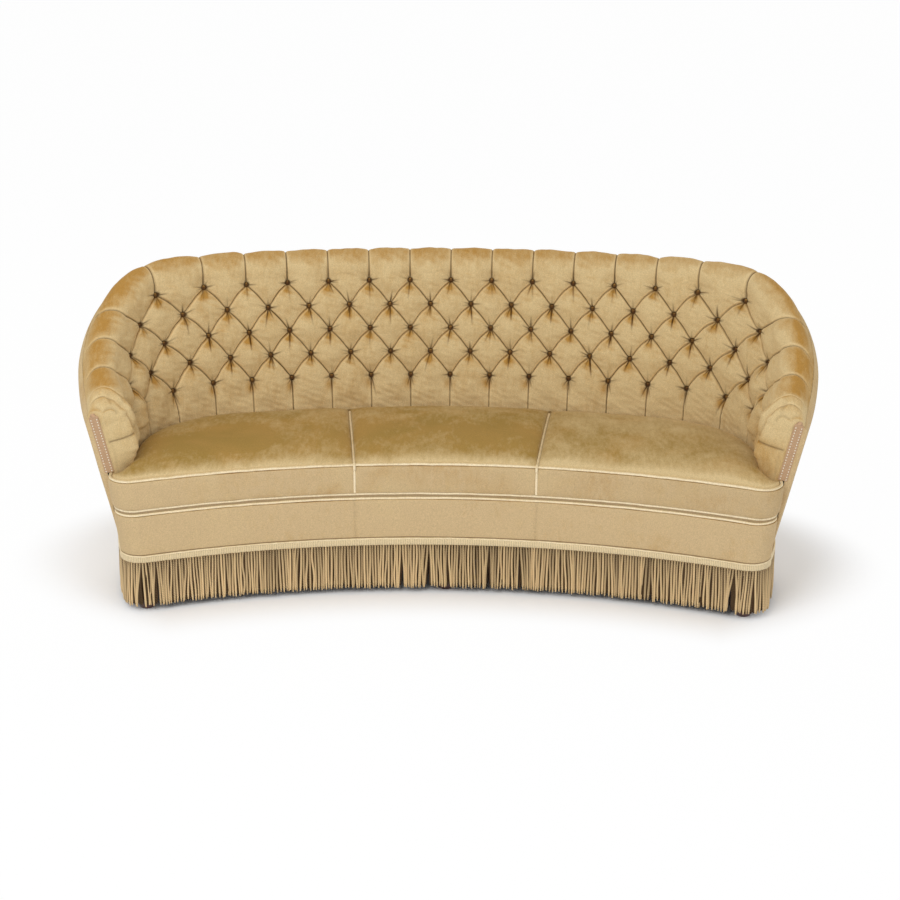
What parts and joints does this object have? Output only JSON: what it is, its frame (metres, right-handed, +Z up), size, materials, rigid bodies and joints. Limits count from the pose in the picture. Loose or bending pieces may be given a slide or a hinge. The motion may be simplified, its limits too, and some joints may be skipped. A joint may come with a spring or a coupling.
{
  "type": "sofa",
  "caption": "Curved deep-buttoned sofa with a tufted back sweeping round into low arms, tight crowned seats, piped borders, bullion fringe and turned bun feet.",
  "frame": {"origin": "centre of the bounding box in plan, on the floor under the feet", "axes": "+X along the sofa's length, to the right of someone who faces its front; +Y from the front to the back; +Z up"},
  "size_m": [2.0784, 0.827, 0.8572],
  "materials": {
    "frame_beech": "planed, unfinished",
    "hessian": "plain jute weave",
    "spring_steel": "drawn wire",
    "gold_velour": "cut velour, matte with a nap sheen",
    "gold_velour_light": "cut velour, matte with a nap sheen",
    "gimp_braid": "flat braid with two stitched edges",
    "fringe_thread": "twisted cord",
    "dust_cloth": "thin black cloth",
    "stained_wood": "dark stained, satin"
  },
  "bodies": {
    "root": {"front_rail": "frame_beech", "back_rail": "frame_beech", "side_rail_left": "frame_beech", "side_rail_right": "frame_beech", "top_rail": "frame_beech", "arm_top_rail_left": "frame_beech", "arm_top_rail_right": "frame_beech", "back_post_1": "frame_beech", "back_post_2": "frame_beech", "back_post_3": "frame_beech", "back_post_4": "frame_beech", "back_post_5": "frame_beech", "corner_post_left": "frame_beech", "arm_post_left": "frame_beech", "corner_block_left": "frame_beech", "seat_bearer_left": "frame_beech", "corner_post_right": "frame_beech", "arm_post_right": "frame_beech", "corner_block_right": "frame_beech", "seat_bearer_right": "frame_beech", "seat_webbing_left": "hessian", "seat_spring_left_1": "spring_steel", "seat_spring_left_2": "spring_steel", "seat_webbing_centre": "hessian", "seat_spring_centre_1": "spring_steel", "seat_spring_centre_2": "spring_steel", "seat_webbing_right": "hessian", "seat_spring_right_1": "spring_steel", "seat_spring_right_2": "spring_steel", "back_lining": "hessian", "inside_back_left": "gold_velour", "inside_back_centre": "gold_velour", "inside_back_right": "gold_velour", "outside_arm_left": "gold_velour_light", "outside_back": "gold_velour_light", "outside_arm_right": "gold_velour_light", "gimp_strip_left": "gimp_braid", "seam_welt_left": "gold_velour", "gimp_strip_right": "gimp_braid", "seam_welt_right": "gold_velour", "seat_pad_left": "gold_velour", "seat_pad_centre": "gold_velour", "seat_pad_right": "gold_velour", "front_border": "gold_velour_light", "front_apron": "gold_velour_light", "seat_top_welt": "gold_velour", "border_bottom_welt": "gold_velour", "apron_top_welt": "gold_velour", "header_front": "fringe_thread", "fringe_front": "fringe_thread", "header_rear": "fringe_thread", "fringe_rear": "fringe_thread", "dust_cover": "dust_cloth", "foot_front_left": "stained_wood", "foot_front_centre": "stained_wood", "foot_front_right": "stained_wood", "foot_rear_left": "stained_wood", "foot_rear_centre": "stained_wood", "foot_rear_right": "stained_wood"}
  },
  "joints": []
}
